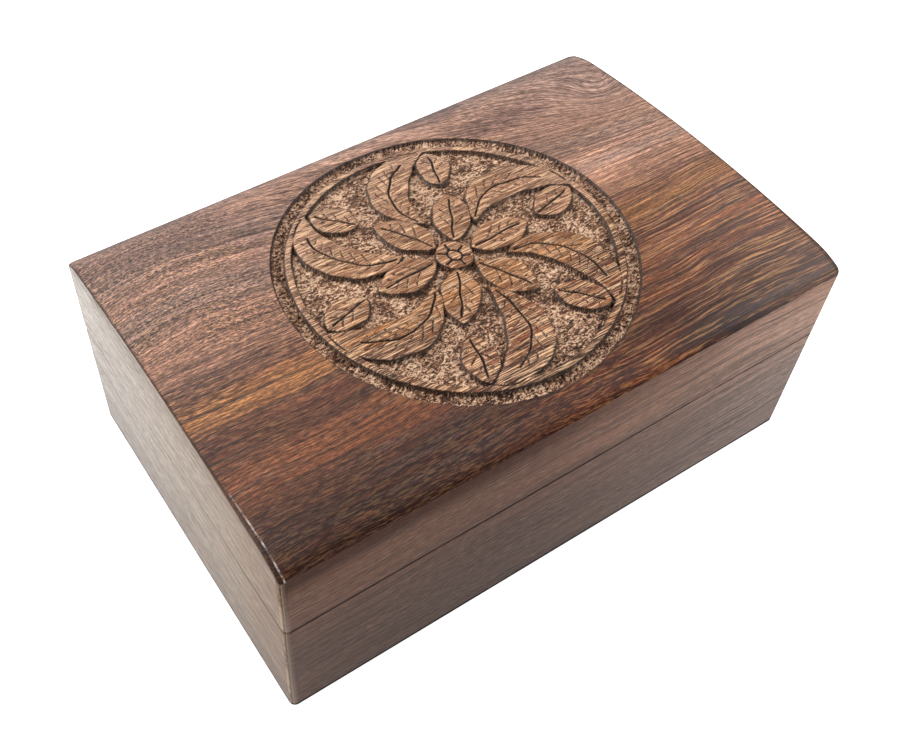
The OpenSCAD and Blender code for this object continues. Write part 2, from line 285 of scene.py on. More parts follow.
@dataclass(frozen=True)
class WoodFinish:
    """Oiled rosewood: bands of colour across the face, dark streaks, bright fibres and open pores."""

    name: str
    slot: str
    grain: Grain
    bands: Stops
    # Painted light and shade along the grain, multiplied into the colour.
    painted_shading: Stops = ((-100.0, PLAIN), (100.0, PLAIN))
    streak: str = "3f2d2a"
    fibre: str = "cf9f68"
    pore: str = "2e1d17"
    streak_share: float = 0.6
    line_share: float = 0.42
    fleck_share: float = 0.72
    pore_share: float = 0.4
    spark_share: float = 0.3
    nicks: tuple[Triple, ...] = ()
    wave: float = 2.0
    seed: float = 0.0
    rough: float = 0.42
    gloss: float = 0.4
    relief: float = 0.05
    seam: float = 0.0

    def across(self, graph: Graph, place: Place) -> Socket:
        """Gives the distance across the grain, which the growth of the tree bends a little."""
        slow = graph.noise(place["at"], (0.02, 0.02, 0.02), 1.0)
        quick = graph.noise(place["at"], (0.09, 0.09, 0.09), 1.0)
        bend = graph.line(slow, 4 * self.wave, -2 * self.wave)
        ripple = graph.line(quick, self.wave, -0.5 * self.wave)
        return graph.plus(place[self.grain.value[1]], graph.plus(bend, ripple))

    def streaking(self, graph: Graph, place: Place) -> object:
        """Gives how strongly the dark streaks show."""
        return self.streak_share

    def flecks(self, graph: Graph, grain: object, place: Place) -> tuple[object, object]:
        """Gives the pattern of short fibres and how strongly it shows.

        Args:
            graph: The material's nodes.
            grain: The place along, across and through the grain.
            place: The sockets of the place on the piece.

        Returns:
            The pattern and its strength.
        """
        return graph.noise(grain, (0.34, 3.6, 2.8), 3.0, 0.62, 0.1), self.fleck_share

    def timber(self, graph: Graph) -> tuple[Socket, Socket, Place]:
        """Builds the wood's colour and the height of its surface.

        Args:
            graph: The material's nodes.

        Returns:
            The colour, the height from 0 to 1, and the sockets of the place.
        """
        place = graph.millimetres(self.seed)
        across = self.across(graph, place)
        along = graph.plus(place[self.grain.value[0]], self.seed * 3)
        grain = graph.place(along, across, place[self.grain.value[2]])
        stray = graph.noise(grain, (0.03, 0.35, 0.35), 3.0)
        colour = self.along_stops(graph, graph.plus(across, graph.line(stray, 5.0, -2.5)), self.bands)
        # Multiplies in the painted light and shade along the grain.
        painted_shading = self.along_stops(graph, place[self.grain.value[0]], self.painted_shading)
        colour = graph.mix(1.0, colour, painted_shading, "MULTIPLY")
        streaks = graph.noise(grain, (0.02, 0.55, 0.5), 4.0, 0.62)
        dark = graph.times(graph.span(streaks, 0.5, 0.64), self.streaking(graph, place))
        colour = graph.coat(dark, colour, self.streak)
        lines = graph.noise(grain, (0.018, 1.9, 1.7), 3.0, 0.68)
        lined = graph.span(lines, 0.4, 0.6, 1 - self.line_share, 1 + 1.2 * self.line_share)
        pattern, strength = self.flecks(graph, grain, place)
        figure = graph.noise(grain, (0.05, 0.14, 0.1), 2.0)
        strength = graph.times(graph.span(figure, 0.36, 0.6, 0.6, 1.15), strength)
        bright = graph.times(graph.span(pattern, 0.5, 0.6), strength)
        deep = graph.times(graph.span(pattern, 0.38, 0.49, 1.0, 0.0), strength)
        dimmed = graph.line(graph.math("MINIMUM", deep, 1.1), -0.66, 1.0)
        flecked = graph.times(graph.line(bright, 1.05, 1.0), dimmed)
        sparks = graph.noise(grain, (0.7, 3.1, 2.7), 2.0, 0.7)
        sparkling = graph.span(sparks, 0.36, 0.64, 1 - self.spark_share, 1 + 1.25 * self.spark_share)
        colour = graph.lift(colour, graph.times(lined, flecked, sparkling))
        colour = graph.coat(graph.times(bright, 0.35), colour, self.fibre)
        pores = graph.noise(grain, (0.3, 3.6, 3.0), 1.0, 0.5, 0.2)
        open_pores = graph.times(graph.span(pores, 0.57, 0.66), self.pore_share)
        colour = graph.coat(open_pores, colour, self.pore)
        height = graph.minus(graph.plus(graph.times(lines, 0.5), bright), open_pores)
        return colour, height, place

    def along_stops(self, graph: Graph, value: object, stops: Stops) -> Socket:
        """Picks a colour by a distance in millimetres."""
        low, high = stops[0][0], stops[-1][0]
        share = graph.math("DIVIDE", graph.minus(value, low), high - low)
        return graph.ramp(share, [((at - low) / (high - low), colour) for at, colour in stops])

    def roughness(self, graph: Graph, height: object) -> Socket:
        """Makes the hollows of the surface a little rougher than its ridges."""
        return graph.span(height, 0.0, 1.0, self.rough + 0.1, self.rough - 0.04)

    def surface(
        self, graph: Graph, colour: object, height: object, rough: object, gloss: object
    ) -> bpy.types.Node:
        """Makes the oiled surface.

        Args:
            graph: The material's nodes.
            colour: The wood's colour.
            height: Height of the surface, in steps of the finish's relief.
            rough: Roughness of the surface.
            gloss: Strength of the reflection.

        Returns:
            The shader.
        """
        bump = graph.add("Bump", {"Strength": 1.0, "Distance": self.relief * MM, "Height": height})
        inputs = {"Base Color": colour, "Roughness": rough, "Specular IOR Level": gloss}
        return graph.add("BsdfPrincipled", {**inputs, "Normal": bump.outputs[0]})

    def make(self) -> bpy.types.Material:
        """Builds the material, with a side board's marks where the finish has a seam: a dark band by the
        seam, painted foot shadow, painted shade and corner light, nicks and wear.
        """
        graph = Graph(self.name)
        colour, height, place = self.timber(graph)
        rough = self.roughness(graph, height)
        gloss: object = self.gloss
        if self.seam:
            colour = self.darkened_by_seam(graph, colour, place)
            # Painted contact shadow: the bottom 2 mm of the boards turn nearly black and lose their gloss.
            dull = graph.span(place["Z"], 1.8, 2.3, 1.0, 0.0)
            colour = graph.coat(dull, colour, FOOT_PAINTED_SHADOW)
            if self.grain is Grain.SHORT_SIDE:
                colour = self.worn(graph, colour, place)
            else:
                to_right = graph.span(place["X"], -30.0, 45.0, 0.7, 0.0)
                shade = graph.times(graph.span(place["Z"], 49.0, 57.0), to_right)
                colour = graph.coat(shade, colour, SHADE)
                # Paler strip on the round of the front left corner: partly wear, partly painted light where
                # the round turns to the lit end.
                colour = graph.coat(graph.span(place["X"], -75.9, -74.3, 0.7, 0.0), colour, RUBBED_AND_LIT)
                dull = graph.larger(dull, shade)
            gloss = graph.times(graph.minus(1.0, dull), self.gloss)
        return graph.finish(self.surface(graph, colour, height, rough, gloss))

    def darkened_by_seam(self, graph: Graph, colour: object, place: Place) -> Socket:
        """Darkens a side board's outer face beside the seam.

        Args:
            graph: The material's nodes.
            colour: The board's colour.
            place: The sockets of the place on the piece.

        Returns:
            The colour with the dark band.
        """
        is_end = self.grain is Grain.SHORT_SIDE
        from_seam = graph.math("ABSOLUTE", graph.minus(place["Z"], SEAM_Z))
        broken = graph.noise(place["at"], (0.05, 0.05, 1.0), 2.0)
        beside = graph.span(from_seam, 0.22, 0.75, 1.0, 0.0)
        seam_dark = graph.times(beside, graph.span(broken, 0.35, 0.6, 0.6, 1.0))
        face, edge = ("X", LENGTH / 2) if is_end else ("Y", WIDTH / 2)
        depth = graph.minus(edge, graph.math("ABSOLUTE", place[face]))
        seam_dark = graph.times(seam_dark, graph.span(depth, 0.3, 0.9, 1.0, 0.0))
        if is_end:
            seam_dark = graph.times(seam_dark, graph.span(place["Y"], -36.0, -22.0, 1.0, 0.1))
        return graph.coat(graph.times(seam_dark, self.seam), colour, SEAM_DARK)

    def worn(self, graph: Graph, colour: object, place: Place) -> Socket:
        """Lays the small nicks and the worn line beside the front corner over an end board's colour.

        Args:
            graph: The material's nodes.
            colour: The board's colour.
            place: The sockets of the place on the piece.

        Returns:
            The colour with the marks.
        """
        for y, z, share in self.nicks:
            square = graph.oval(graph.minus(place["Y"], y), graph.minus(place["Z"], z), 1.1, 0.36)
            away = graph.math("SQRT", square)
            on_left = graph.span(place["X"], -1.0, 1.0, 1.0, 0.0)
            mark = graph.times(graph.span(away, 0.4, 1.0, share, 0.0), on_left)
            colour = graph.coat(mark, colour, NICK)
        behind = graph.span(place["Y"], -48.9, -48.4, 1.0, 0.0)
        line = graph.times(graph.span(place["Y"], -49.5, -49.1), behind)
        broken = graph.noise(place["at"], (0.4, 0.4, 0.12), 2.0)
        line = graph.times(line, graph.span(broken, 0.4, 0.55, 0.1, 0.55))
        return graph.coat(line, colour, WORN)


@dataclass(frozen=True)
class CrownFinish(WoodFinish):
    """The lid's top board, whose grain fans out at the back and closes round a knot, with a carved ground."""

    fan_start: float = -58.0
    fan_slope: float = 0.3
    fan_round: float = 12.0
    knot: tuple[float, float] = (69.0, 30.0)
    knot_size: float = 9.0
    glow: str = "b9763f"
    ground: tuple[str, ...] = ("0c0302", "361809", "7d4d33", "cf9670", "ffe0c0")
    # Painted shade in the knife cuts, on the walls and at their feet.
    cut: str = "20120c"
    arris: str = "33221d"
    shine: str = "ffd0a4"
    painted_sheen: str = "e6d4cc"
    painted_highlight: str = "ecdad0"
    ground_steps: tuple[float, ...] = (0.446, 0.474, 0.5, 0.526, 0.556)
    patches: tuple[tuple[float, float, float, float, Triple], ...] = ()
    ends: WoodFinish | None = None

    def across(self, graph: Graph, place: Place) -> Socket:
        """Adds the fan and the knot to the grain's usual bends."""
        x, y = place["X"], place["Y"]
        plain = super().across(graph, place)
        from_start = graph.minus(x, self.fan_start)
        reach = graph.math("SQRT", graph.plus(graph.math("POWER", from_start, 2.0), self.fan_round**2))
        fan = graph.line(reach, self.fan_slope, -self.fan_round * self.fan_slope)
        fan = graph.times(fan, graph.span(y, -12.0, 30.0))
        knot_x, knot_y = graph.minus(x, self.knot[0]), graph.minus(y, self.knot[1])
        square = graph.oval(knot_x, knot_y, 1.3 * self.knot_size, self.knot_size)
        swirl = graph.math("DIVIDE", 11.0, graph.plus(square, 1.0))
        return graph.plus(plain, fan, swirl)

    def streaking(self, graph: Graph, place: Place) -> object:
        """Fades the dark streaks round the knot."""
        knot = graph.times(graph.span(place["X"], 20.0, 50.0), graph.span(place["Y"], 12.0, 34.0))
        return graph.line(knot, -0.6 * self.streak_share, self.streak_share)

    def flecks(self, graph: Graph, grain: object, place: Place) -> tuple[object, object]:
        """Varies the fibres: short at the back left, long at the right, calm in front and round the knot."""
        x, y = place["X"], place["Y"]
        pattern, strength = super().flecks(graph, grain, place)
        curl = graph.noise(place["at"], (0.4, 0.4, 0.4), 1.0)
        rippled = graph.moved(graph.place(0.0, graph.times(curl, 1.6), 0.0), grain)
        short = graph.noise(rippled, (1.1, 3.4, 2.6), 3.0, 0.66, 0.5)
        left = graph.times(graph.span(x, -46.0, -26.0, 1.0, 0.0), graph.span(y, -4.0, 12.0))
        pattern = graph.blend(left, pattern, short)
        streaky = graph.noise(grain, (0.06, 2.5, 2.0), 4.0, 0.66, 0.05)
        right = graph.times(graph.span(x, -14.0, 30.0), graph.span(y, -6.0, 14.0, 0.85, 0.25))
        pattern = graph.blend(right, pattern, streaky)
        front = graph.times(graph.span(x, -16.0, 24.0, 1.0, 0.0), graph.span(y, -34.0, 4.0, 1.0, 0.0))
        front = graph.line(front, -0.6, graph.span(x, 26.0, 52.0, 1.15, 1.7))
        knot = graph.times(graph.span(x, 28.0, 62.0), graph.span(y, 14.0, 34.0))
        disc = graph.span(graph.squares(x, y), 1500.0, 2000.0, 1.7, 1.0)
        strength = graph.times(graph.line(left, 0.6, 1.0), strength)
        return pattern, graph.times(front, graph.line(knot, -0.84, 1.0), disc, strength)

    def patched(self, graph: Graph, colour: object, place: Place) -> object:
        """Lightens and darkens soft oval patches of the board.

        Args:
            graph: The material's nodes.
            colour: The board's colour.
            place: The sockets of the place on the piece.

        Returns:
            The colour with the patches.
        """
        for x, y, half_x, half_y, gain in self.patches:
            away = graph.oval(graph.minus(place["X"], x), graph.minus(place["Y"], y), half_x, half_y)
            scale = graph.mix(graph.span(away, 0.1, 1.0, 1.0, 0.0), (1.0, 1.0, 1.0, 1.0), (*gain, 1.0))
            colour = graph.add("VectorMath", {0: colour, 1: scale}, operation="MULTIPLY").outputs[0]
        return colour

    def toned_and_painted_light(self, graph: Graph, colour: object, place: Place) -> Socket:
        """Warms the middle, paints light onto the front and the right, and lays a thin painted sheen over the
        right end.

        Args:
            graph: The material's nodes.
            colour: The board's colour.
            place: The sockets of the place on the piece.

        Returns:
            The colour with the broad tones, the painted light and the painted sheen.
        """
        x, y = place["X"], place["Y"]
        warm = graph.span(graph.oval(x, graph.minus(y, 6.0), 46.0, 34.0), 0.1, 1.0, 0.34, 0.0)
        colour = graph.coat(warm, colour, self.glow)
        # Painted light: the front and the right middle are lifted lighter.
        front = graph.times(graph.span(x, -40.0, 72.0), graph.span(y, -40.0, -4.0, 1.0, 0.0))
        middle = graph.times(graph.span(y, -14.0, 4.0), graph.span(y, 12.0, 26.0, 1.0, 0.0))
        middle = graph.times(middle, graph.span(x, 22.0, 60.0, 0.0, 0.46))
        colour = graph.lift(colour, graph.plus(graph.line(front, 0.34, 1.0), middle))
        # Painted sheen of the pale surroundings over the right end.
        painted_sheen = graph.times(graph.span(x, 25.0, 76.0, 0.0, 0.07), graph.span(y, -22.0, 8.0, 1.0, 0.2))
        return graph.coat(painted_sheen, colour, self.painted_sheen)

    def grained(self, graph: Graph, colour: object, place: Place) -> Socket:
        """Lays bright and dark fibres over the carved disc.

        Args:
            graph: The material's nodes.
            colour: The board's colour.
            place: The sockets of the place on the piece.

        Returns:
            The colour with the disc's fibres.
        """
        disc = graph.span(graph.squares(place["X"], place["Y"]), 1500.0, 1900.0, 1.0, 0.0)
        glints = graph.noise(place["at"], (0.1, 3.5, 2.6), 3.0, 0.62, 0.1)
        bright = graph.times(graph.span(glints, 0.525, 0.575, 0.0, 0.85), disc)
        colour = graph.coat(bright, colour, self.shine)
        dots = graph.noise(place["at"], (0.12, 3.2, 2.4), 3.0, 0.62, 0.1)
        return graph.coat(graph.times(graph.span(dots, 0.545, 0.6, 0.0, 0.66), disc), colour, self.pore)

    def carved(self, graph: Graph, colour: object, place: Place, sunk: Socket, gouge: Socket) -> Socket:
        """Colours the sunk ground, and paints shade into the knife cuts, onto the walls and at the walls'
        feet, which the mesh marks.

        Args:
            graph: The material's nodes.
            colour: The board's colour.
            place: The sockets of the place on the piece.
            sunk: How much each place belongs to the ground.
            gouge: The pattern of the gouge's marks.

        Returns:
            The colour with the carving.
        """
        cut = graph.add("Attribute", {}, attribute_name="cut").outputs["Fac"]
        # The stipple follows the gouge noise of the bump: painted shade in its dips and painted light on its
        # rises, along with the wood's own specks.
        hollows = graph.noise(place["at"], (0.16, 0.16, 0.16), 1.0)
        chips = graph.noise(place["at"], (1.3, 2.5, 2.0), 2.0, 0.6, 0.8)
        stipple = graph.plus(graph.times(gouge, 0.48), graph.times(chips, 0.37))
        stipple = graph.line(hollows, 0.15, stipple)
        bare = graph.mix(0.15, graph.ramp(stipple, list(zip(self.ground_steps, self.ground))), colour)
        colour = graph.mix(graph.times(sunk, 0.95), colour, bare)
        return graph.coat(graph.span(cut, 0.15, 0.6, 0.0, 0.95), colour, self.cut)

    def edged(self, graph: Graph, colour: object, place: Place, from_end: Socket) -> tuple[Socket, Socket]:
        """Darkens the edges at both ends and the back, with a painted highlight along the front left arris.

        Args:
            graph: The material's nodes.
            colour: The board's colour.
            place: The sockets of the place on the piece.
            from_end: Distance from the nearer end.

        Returns:
            The colour with the edges, and how much each place belongs to the dark edge of an end.
        """
        reach = graph.span(place["Y"], -46.0, -14.0, 1.0, 0.0)
        from_inner = graph.minus(from_end, graph.line(reach, 0.75, 0.5))
        edge = graph.times(graph.span(from_inner, -0.35, 0.35, 0.85, 0.0), graph.line(reach, -0.42, 1.0))
        colour = graph.coat(edge, colour, self.arris)
        # Painted highlight: a broken pale line along the front left arris.
        painted_highlight = graph.span(graph.math("ABSOLUTE", from_inner), 0.04, 0.3, 1.0, 0.0)
        chipped = graph.noise(place["at"], (0.3, 0.6, 0.1), 4.0, 0.8)
        front = graph.span(place["Y"], -42.0, -24.0, 0.85, 0.0)
        painted_highlight = graph.times(painted_highlight, graph.times(graph.span(chipped, 0.38, 0.62, 0.08, 1.0), front))
        left = graph.math("LESS_THAN", place["X"], 0.0)
        colour = graph.coat(graph.times(painted_highlight, left), colour, self.painted_highlight)
        from_back = graph.minus(WIDTH / 2, place["Y"])
        return graph.coat(graph.span(from_back, 0.3, 6.0, 0.55, 0.0), colour, self.arris), edge

    def make(self) -> bpy.types.Material:
        """Builds the material of the board's top, its carving and its two ends."""
        graph = Graph(self.name)
        colour, height, place = self.timber(graph)
        for lay in (self.patched, self.toned_and_painted_light, self.grained):
            colour = lay(graph, colour, place)
        sunk = graph.add("Attribute", {}, attribute_name="sunk").outputs["Fac"]
        gouge = graph.noise(place["at"], (0.62, 0.95, 0.8), 3.0, 0.7, 1.4)
        colour = self.carved(graph, colour, place, sunk, gouge)
        from_end = graph.minus(LENGTH / 2, graph.math("ABSOLUTE", place["X"]))
        colour, edge = self.edged(graph, colour, place, from_end)
        end = graph.span(from_end, 0.03, 0.12, 1.0, 0.0)
        if self.ends:
            colour = graph.mix(end, colour, self.ends.timber(graph)[0])
        height = graph.plus(height, graph.times(sunk, graph.times(gouge, 7.0)))
        rough = graph.line(edge, 0.08, self.roughness(graph, height))
        rough = graph.larger(rough, graph.times(sunk, 0.7))
        rough = graph.larger(rough, graph.times(end, 0.55))
        gloss = graph.span(place["Y"], -50.0, -46.5, 0.2 * self.gloss, self.gloss)
        gloss = graph.times(gloss, graph.line(edge, -0.75, 1.0))
        return graph.finish(self.surface(graph, colour, height, rough, gloss))


@dataclass(frozen=True)
class FeltFinish:
    """Short green felt."""

    name: str = "felt"
    slot: str = "felt"
    colour: str = "23503a"
    pale: str = "37694f"

    def make(self) -> bpy.types.Material:
        """Builds the material from matted fibres."""
        graph = Graph(self.name)
        place = graph.millimetres()
        mat = graph.noise(place["at"], (0.12, 0.12, 0.12), 3.0)
        hair = graph.noise(place["at"], (1.6, 1.6, 1.6), 4.0, 0.75, 1.6)
        level = graph.plus(graph.times(mat, 0.35), graph.times(hair, 0.65))
        colour = graph.mix(graph.span(level, 0.35, 0.65), linear(self.colour), linear(self.pale))
        bump = graph.add("Bump", {"Strength": 1.0, "Distance": 0.25 * MM, "Height": hair})
        inputs = {"Base Color": colour, "Roughness": 0.95, "Normal": bump.outputs[0], "Sheen Weight": 0.4}
        shader = graph.add("BsdfPrincipled", {**inputs, "Sheen Roughness": 0.5, "Specular IOR Level": 0.2})
        return graph.finish(shader)


@dataclass(frozen=True)
class BrassFinish:
    """Stamped brass with a light brushed mark and a little tarnish."""

    name: str
    slot: str
    colour: str = "bd9d63"
    tarnish: str = "77593a"
    rough: float = 0.32

    def make(self) -> bpy.types.Material:
        """Builds the material."""
        graph = Graph(self.name)
        place = graph.millimetres()
        cloud = graph.noise(place["at"], (0.5, 0.5, 0.5), 3.0)
        brush = graph.noise(place["at"], (0.4, 9.0, 9.0), 2.0)
        colour = graph.coat(graph.span(cloud, 0.45, 0.75, 0.0, 0.6), linear(self.colour), self.tarnish)
        dull = graph.span(cloud, 0.4, 0.7, self.rough, self.rough + 0.12)
        rough = graph.plus(graph.span(brush, 0.3, 0.7, -0.06, 0.08), dull)
        bump = graph.add("Bump", {"Strength": 0.5, "Distance": 0.01 * MM, "Height": brush})
        inputs = {"Base Color": colour, "Metallic": 1.0, "Roughness": rough, "Normal": bump.outputs[0]}
        return graph.finish(graph.add("BsdfPrincipled", inputs))


SIDE_BANDS = ((0.0, GREY_TAN), (30.0, GREY_TAN), (42.0, PALE_TAN), (52.0, PALE_TAN), (60.0, TAN))
# Painted light and shade: the fronts darkest left of the middle and lightest at the right, the ends palest at
# the back.
SIDE_PAINTED_SHADING = ((-76.2, HALF_LIT), (-25.0, DUSK), (15.0, HALF_LIT), (76.2, PLAIN))
END_BANDS = ((0.0, DARK_ASH), (25.0, ASH), (60.0, ASH))
END_PAINTED_SHADING = ((-50.0, AMBER), (-30.0, STRAW), (50.0, PLAIN))
QUIET = {
    "streak": "4a3835",
    "fibre": "a5856c",
    "streak_share": 0.6,
    "line_share": 0.36,
    "fleck_share": 0.34,
    "pore_share": 0.4,
    "spark_share": 0.07,
}
PALE = {
    "streak": "8d7d71",
    "fibre": "c8bcae",
    "pore": "6b5a4e",
    "streak_share": 0.5,
    "line_share": 0.2,
    "fleck_share": 0.3,
    "pore_share": 0.9,
    "spark_share": 0.09,
}
FRONT_WOOD = WoodFinish(
    "long_side_wood",
    "rosewood_side",
    Grain.LONG_SIDE,
    SIDE_BANDS,
    SIDE_PAINTED_SHADING,
    seed=11.0,
    wave=1.6,
    relief=0.02,
    rough=0.5,
    gloss=0.2,
    seam=0.85,
    **QUIET,
)
END_WOOD = WoodFinish(
    "short_side_wood",
    "rosewood_end",
    Grain.SHORT_SIDE,
    END_BANDS,
    END_PAINTED_SHADING,
    seed=27.0,
    wave=1.2,
    relief=0.02,
    rough=0.5,
    gloss=0.3,
    seam=0.6,
    nicks=((-5.0, 20.5, 0.95), (8.5, 26.0, 0.4)),
    **PALE,
)
TOP_WOOD = CrownFinish(
    "crown_wood",
    "rosewood_top",
    Grain.FLAT,
    (
        (-50.0, DARK_HEART),
        (-37.0, DARK_HEART),
        (-31.0, RED_BROWN),
        (-25.0, RED_BROWN),
        (-19.0, DARK_HEART),
        (-15.0, UMBER),
        (-11.0, GOLD),
        (-6.0, UMBER),
        (0.0, MID_BROWN),
        (13.0, TAN),
        (20.0, GREY_BROWN),
        (28.0, TAN),
        (38.0, GREY_BROWN),
        (52.0, TAN),
        (90.0, GREY_TAN),
    ),
    spark_share=0.42,
    seed=3.0,
    wave=1.3,
    patches=(
        (8.0, -46.5, 32.0, 7.0, WARMER),
        (46.0, -47.5, 26.0, 5.0, DARKER),
        (50.0, -28.0, 32.0, 6.0, DARKER),
        (56.0, -20.0, 28.0, 4.5, LIGHTER),
        (40.0, 35.0, 20.0, 6.0, DARKER),
        (-60.0, 43.0, 30.0, 8.0, DARKER),
        (-4.0, 47.5, 26.0, 4.5, LIGHTER),
        (28.0, 47.0, 12.0, 4.5, DARKER),
        (46.0, 6.0, 15.0, 7.0, LIGHTER),
    ),
    ends=END_WOOD,
)
BOTTOM_BANDS = ((-50.0, "7c5c46"), (0.0, "886650"), (50.0, "775744"))
BOTTOM_WOOD = WoodFinish("bottom_wood", "rosewood_bottom", Grain.FLAT, BOTTOM_BANDS, seed=51.0, rough=0.6)
FELT = FeltFinish()
HINGE_BRASS = BrassFinish("hinge_brass", "hinge_brass")
SCREW_BRASS = BrassFinish("screw_brass", "screw_brass", colour="b58f4e", rough=0.28)

Finish = WoodFinish | FeltFinish | BrassFinish
MATERIALS: dict[str, bpy.types.Material] = {}


def material_of(finish: Finish) -> bpy.types.Material:
    """Builds a finish's material once and returns it."""
    if finish.name not in MATERIALS:
        MATERIALS[finish.name] = finish.make()
    return MATERIALS[finish.name]


def cuboid(length: float, width: float, height: float) -> Mesh:
    """Makes a plain block that stands on level 0, round the middle."""
    bm = bmesh.new()
    size = Matrix.Diagonal((length, width, height, 1))
    bmesh.ops.create_cube(bm, size=1.0, matrix=Matrix.Translation((0, 0, height / 2)) @ size)
    return bm


def bevel(bm: Mesh, edges: list[Edge], radius: float, segments: int) -> None:
    """Rounds edges and leaves the new faces smooth.

    Args:
        bm: The mesh.
        edges: The edges to round.
        radius: Radius of the round.
        segments: Number of facets across it.
    """
    made = bmesh.ops.bevel(
        bm,
        geom=edges,
        offset=radius,
        offset_type="OFFSET",
        segments=segments,
        profile=0.5,
        affect="EDGES",
        material=-1,
        clamp_overlap=True,
    )
    for face in made["faces"]:
        face.smooth = True


def saw(bm: Mesh, point: Triple, outward: Triple) -> None:
    """Saws off what lies outside a plane and closes the cut.

    Args:
        bm: The mesh.
        point: A point of the plane.
        outward: Direction of the side that falls away.
    """
    geometry = [*bm.verts, *bm.edges, *bm.faces]
    normal = Vector(outward).normalized()
    cut = bmesh.ops.bisect_plane(
        bm, geom=geometry, dist=MERGE, plane_co=point, plane_no=normal, clear_outer=True
    )
    edges = [e for e in cut["geom_cut"] if isinstance(e, Edge) and e.is_boundary]
    if edges:
        bmesh.ops.edgeloop_fill(bm, edges=edges)


def score(bm: Mesh, faces: list[Face], point: Triple, normal: Triple) -> None:
    """Divides faces along a plane without removing anything."""
    parts = {*faces, *(e for f in faces for e in f.edges), *(v for f in faces for v in f.verts)}
    bmesh.ops.bisect_plane(bm, geom=list(parts), dist=MERGE, plane_co=point, plane_no=normal)


def sink(bm: Mesh, faces: list[Face]) -> list[Vert]:
    """Opens a pocket under faces, which become its floor, and returns the floor's corners, not moved yet."""
    parts = {*faces, *(e for f in faces for e in f.edges), *(v for f in faces for v in f.verts)}
    made = bmesh.ops.extrude_face_region(bm, geom=list(parts))["geom"]
    return [v for v in made if isinstance(v, Vert)]


def finish_piece(bm: Mesh, name: str, body: Body, finish: Finish, nodes: list[str]) -> bpy.types.Object:
    """Turns a mesh in millimetres into a piece of the object.

    Args:
        bm: The mesh, which is freed.
        name: Name of the piece.
        body: The half that it moves with.
        finish: Its finish.
        nodes: The nodes that it stands for.

    Returns:
        The piece.
    """
    bmesh.ops.remove_doubles(bm, verts=bm.verts, dist=MERGE)
    bmesh.ops.recalc_face_normals(bm, faces=bm.faces)
    bmesh.ops.scale(bm, vec=(MM, MM, MM), verts=bm.verts)
    mesh = bpy.data.meshes.new(name)
    bm.to_mesh(mesh)
    bm.free()
    piece = bpy.data.objects.new(name, mesh)
    bpy.context.scene.collection.objects.link(piece)
    mesh.materials.append(material_of(finish))
    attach(piece, body.value)
    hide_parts(*nodes)
    logger.info("%s: %d faces, rides on %s", name, len(mesh.polygons), body.value)
    return piece


